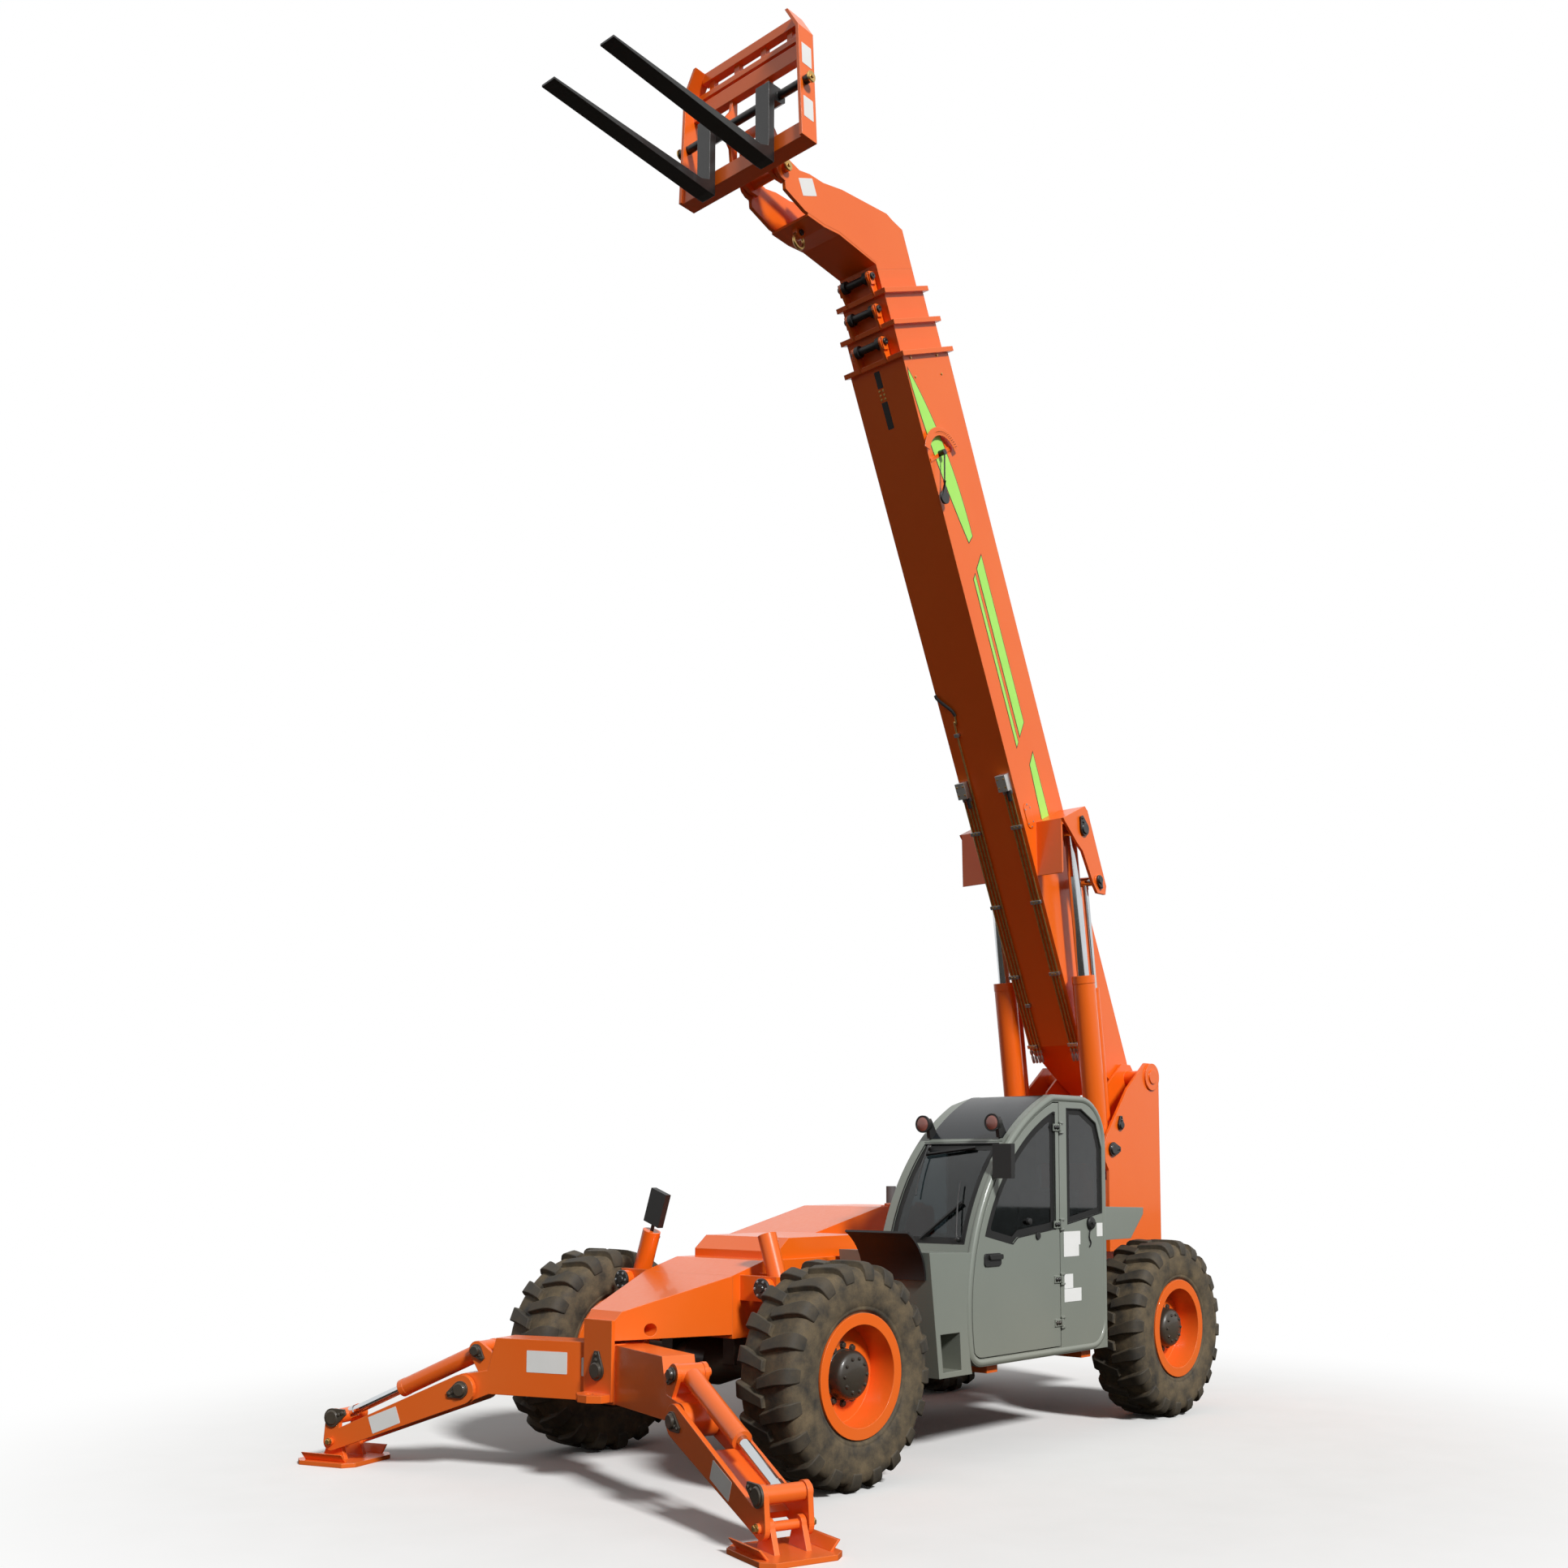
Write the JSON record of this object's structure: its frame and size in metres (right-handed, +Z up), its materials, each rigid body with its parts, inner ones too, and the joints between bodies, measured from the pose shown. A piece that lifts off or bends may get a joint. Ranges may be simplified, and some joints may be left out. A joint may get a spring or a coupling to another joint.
{
  "type": "telehandler",
  "caption": "Telescopic handler with four steered wheels, raised multi-stage boom with gooseneck, fork carriage, side cab, engine pod and swing-down front outriggers",
  "frame": {"origin": "middle of the footprint box on the ground", "axes": "+X forward, +Y to the left of the machine, +Z up"},
  "size_m": [6.6154, 4.4456, 9.7698],
  "materials": {
    "orange_paint": "gloss",
    "grey_paint": "satin",
    "black_paint": "satin",
    "tyre_rubber": "matte",
    "chrome_rod": "polished",
    "tinted_glass": "clear",
    "seat_black": "matte",
    "engine_iron": "matte",
    "roller_black": "satin"
  },
  "bodies": {
    "chassis": {"main_frame": "orange_paint", "boom_towers": "orange_paint", "front_nose": "orange_paint", "outrigger_arms": "orange_paint", "front_axle": "black_paint", "rear_axle": "black_paint", "sway_cylinders": "orange_paint", "cab_frame": "grey_paint", "cab_glass": "tinted_glass", "cab_interior": "seat_black", "cab_step_and_fender": "grey_paint", "front_fender": "roller_black", "engine_housing": "orange_paint", "engine_block": "engine_iron", "exhaust": "black_paint", "lamps_and_mirrors": "black_paint"},
    "door": {"door_panel": "grey_paint", "door_glass": "tinted_glass"},
    "hood": {"engine_hood": "orange_paint"},
    "boom_base_body": {"boom_base": "orange_paint", "rollers_base": "roller_black"},
    "boom_second_body": {"boom_second": "orange_paint", "rollers_second": "roller_black"},
    "boom_third_body": {"boom_third": "orange_paint", "rollers_third": "roller_black"},
    "boom_fly_body": {"boom_fly": "orange_paint", "gooseneck": "orange_paint", "tilt_barrel": "orange_paint"},
    "carriage": {"coupler": "orange_paint", "carriage_frame": "orange_paint", "forks": "black_paint"},
    "lift_barrel_body": {"lift_barrels": "orange_paint"},
    "lift_rod_body": {"lift_rods": "chrome_rod"},
    "slave_barrel_body": {"slave_barrels": "orange_paint"},
    "slave_rod_body": {"slave_rods": "chrome_rod"},
    "tilt_rod_body": {"tilt_rod": "chrome_rod"},
    "knuckle_fl_body": {"knuckle_fl": "black_paint"},
    "wheel_fl": {"tyre_fl": "tyre_rubber", "rim_fl": "orange_paint"},
    "knuckle_fr_body": {"knuckle_fr": "black_paint"},
    "wheel_fr": {"tyre_fr": "tyre_rubber", "rim_fr": "orange_paint"},
    "knuckle_rl_body": {"knuckle_rl": "black_paint"},
    "wheel_rl": {"tyre_rl": "tyre_rubber", "rim_rl": "orange_paint"},
    "knuckle_rr_body": {"knuckle_rr": "black_paint"},
    "wheel_rr": {"tyre_rr": "tyre_rubber", "rim_rr": "orange_paint"},
    "leg_left_body": {"leg_left": "orange_paint"},
    "leg_barrel_left_body": {"leg_barrel_left": "orange_paint"},
    "leg_rod_left_body": {"leg_rod_left": "chrome_rod"},
    "foot_left_body": {"foot_left": "orange_paint"},
    "leg_right_body": {"leg_right": "orange_paint"},
    "leg_barrel_right_body": {"leg_barrel_right": "orange_paint"},
    "leg_rod_right_body": {"leg_rod_right": "chrome_rod"},
    "foot_right_body": {"foot_right": "orange_paint"}
  },
  "joints": [
    {"name": "steer_fl", "type": "hinge", "parent": "chassis", "child": "knuckle_fl_body", "pos_m": [1.64231, 0.8705, 0.672], "axis": [0, 0, 1], "range_deg": [-32, 32]},
    {"name": "spin_fl", "type": "hinge", "parent": "knuckle_fl_body", "child": "wheel_fl", "pos_m": [1.64231, 1.073, 0.672], "axis": [0, 1, 0], "continuous": true},
    {"name": "steer_fr", "type": "hinge", "parent": "chassis", "child": "knuckle_fr_body", "pos_m": [1.64231, -0.8705, 0.672], "axis": [0, 0, 1], "range_deg": [-32, 32]},
    {"name": "spin_fr", "type": "hinge", "parent": "knuckle_fr_body", "child": "wheel_fr", "pos_m": [1.64231, -1.073, 0.672], "axis": [0, 1, 0], "continuous": true},
    {"name": "steer_rl", "type": "hinge", "parent": "chassis", "child": "knuckle_rl_body", "pos_m": [-2.13769, 0.8705, 0.672], "axis": [0, 0, -1], "range_deg": [-32, 32]},
    {"name": "spin_rl", "type": "hinge", "parent": "knuckle_rl_body", "child": "wheel_rl", "pos_m": [-2.13769, 1.073, 0.672], "axis": [0, 1, 0], "continuous": true},
    {"name": "steer_rr", "type": "hinge", "parent": "chassis", "child": "knuckle_rr_body", "pos_m": [-2.13769, -0.8705, 0.672], "axis": [0, 0, -1], "range_deg": [-32, 32]},
    {"name": "spin_rr", "type": "hinge", "parent": "knuckle_rr_body", "child": "wheel_rr", "pos_m": [-2.13769, -1.073, 0.672], "axis": [0, 1, 0], "continuous": true},
    {"name": "boom_lift", "type": "hinge", "parent": "chassis", "child": "boom_base_body", "pos_m": [-3.08769, 0, 2.675], "axis": [0, 1, 0], "range_deg": [-5, 73]},
    {"name": "extend_second", "type": "slide", "parent": "boom_base_body", "child": "boom_second_body", "axis": [-0.4226, 0, -0.9063], "range_m": [-3.3, 0]},
    {"name": "extend_third", "type": "slide", "parent": "boom_second_body", "child": "boom_third_body", "axis": [-0.4226, 0, -0.9063], "range_m": [-3.3, 0]},
    {"name": "extend_fly", "type": "slide", "parent": "boom_third_body", "child": "boom_fly_body", "axis": [-0.4226, 0, -0.9063], "range_m": [-3.3, 0]},
    {"name": "carriage_tilt", "type": "hinge", "parent": "boom_fly_body", "child": "carriage", "pos_m": [1.17619, 0, 8.88482], "axis": [0, -1, 0], "range_deg": [-35, 78]},
    {"name": "tilt_rod_slide", "type": "slide", "parent": "boom_fly_body", "child": "tilt_rod_body", "axis": [0.9828, 0, 0.1849], "range_m": [-0.234, 0.116]},
    {"name": "lift_barrel_swing", "type": "hinge", "parent": "chassis", "child": "lift_barrel_body", "pos_m": [-2.43869, 0, 2.053], "axis": [0, 1, 0], "range_deg": [-7, 75]},
    {"name": "lift_rod_slide", "type": "slide", "parent": "lift_barrel_body", "child": "lift_rod_body", "axis": [0.1417, 0, 0.9899], "range_m": [-1.089, 0.093]},
    {"name": "slave_barrel_swing", "type": "hinge", "parent": "chassis", "child": "slave_barrel_body", "pos_m": [-2.56569, 0, 2.253], "axis": [0, 1, 0], "range_deg": [-7, 78]},
    {"name": "slave_rod_slide", "type": "slide", "parent": "slave_barrel_body", "child": "slave_rod_body", "axis": [0.138, 0, 0.9904], "range_m": [-0.813, 0.074]},
    {"name": "leg_left", "type": "hinge", "parent": "chassis", "child": "leg_left_body", "pos_m": [2.7274, 1.00051, 0.523], "axis": [0.9511, -0.309, 0], "range_deg": [-6, 95]},
    {"name": "leg_barrel_left_swing", "type": "hinge", "parent": "chassis", "child": "leg_barrel_left_body", "pos_m": [2.70144, 0.92062, 0.762], "axis": [0.9511, -0.309, 0], "range_deg": [-8, 99]},
    {"name": "leg_rod_left_slide", "type": "slide", "parent": "leg_barrel_left_body", "child": "leg_rod_left_body", "axis": [0.2833, 0.8719, -0.3994], "range_m": [-0.392, 0.043]},
    {"name": "foot_left", "type": "hinge", "parent": "leg_left_body", "child": "foot_left_body", "pos_m": [3.03641, 1.95157, 0.143], "axis": [0.9511, -0.309, 0], "range_deg": [-20, 20]},
    {"name": "leg_right", "type": "hinge", "parent": "chassis", "child": "leg_right_body", "pos_m": [2.7274, -1.00051, 0.523], "axis": [-0.9511, -0.309, 0], "range_deg": [-6, 95]},
    {"name": "leg_barrel_right_swing", "type": "hinge", "parent": "chassis", "child": "leg_barrel_right_body", "pos_m": [2.70144, -0.92062, 0.762], "axis": [-0.9511, -0.309, 0], "range_deg": [-8, 99]},
    {"name": "leg_rod_right_slide", "type": "slide", "parent": "leg_barrel_right_body", "child": "leg_rod_right_body", "axis": [0.2833, -0.8719, -0.3994], "range_m": [-0.392, 0.043]},
    {"name": "foot_right", "type": "hinge", "parent": "leg_right_body", "child": "foot_right_body", "pos_m": [3.03641, -1.95157, 0.143], "axis": [-0.9511, -0.309, 0], "range_deg": [-20, 20]},
    {"name": "door_swing", "type": "hinge", "parent": "chassis", "child": "door", "pos_m": [-0.60369, 1.212, 1.4], "axis": [0, 0, 1], "range_deg": [0, 95]},
    {"name": "hood_lift", "type": "hinge", "parent": "chassis", "child": "hood", "pos_m": [-0.35769, -0.4405, 1.615], "axis": [-1, 0, 0], "range_deg": [0, 60]}
  ],
  "couplings": [
    {"joint": "steer_fr", "follows": "steer_fl", "ratio": 1},
    {"joint": "steer_rr", "follows": "steer_rl", "ratio": 1},
    {"joint": "extend_third", "follows": "extend_second", "ratio": 1},
    {"joint": "extend_fly", "follows": "extend_second", "ratio": 1},
    {"joint": "tilt_rod_slide", "follows": "carriage_tilt", "m_per_rad": -0.15717},
    {"joint": "lift_barrel_swing", "follows": "boom_lift", "ratio": 1.0081},
    {"joint": "lift_rod_slide", "follows": "boom_lift", "m_per_rad": -0.83919},
    {"joint": "slave_barrel_swing", "follows": "boom_lift", "ratio": 1.0482},
    {"joint": "slave_rod_slide", "follows": "boom_lift", "m_per_rad": -0.62205},
    {"joint": "leg_barrel_left_swing", "follows": "leg_left", "ratio": 1.0226},
    {"joint": "leg_rod_left_slide", "follows": "leg_left", "m_per_rad": -0.22423},
    {"joint": "leg_barrel_right_swing", "follows": "leg_right", "ratio": 1.0226},
    {"joint": "leg_rod_right_slide", "follows": "leg_right", "m_per_rad": -0.22423}
  ]
}
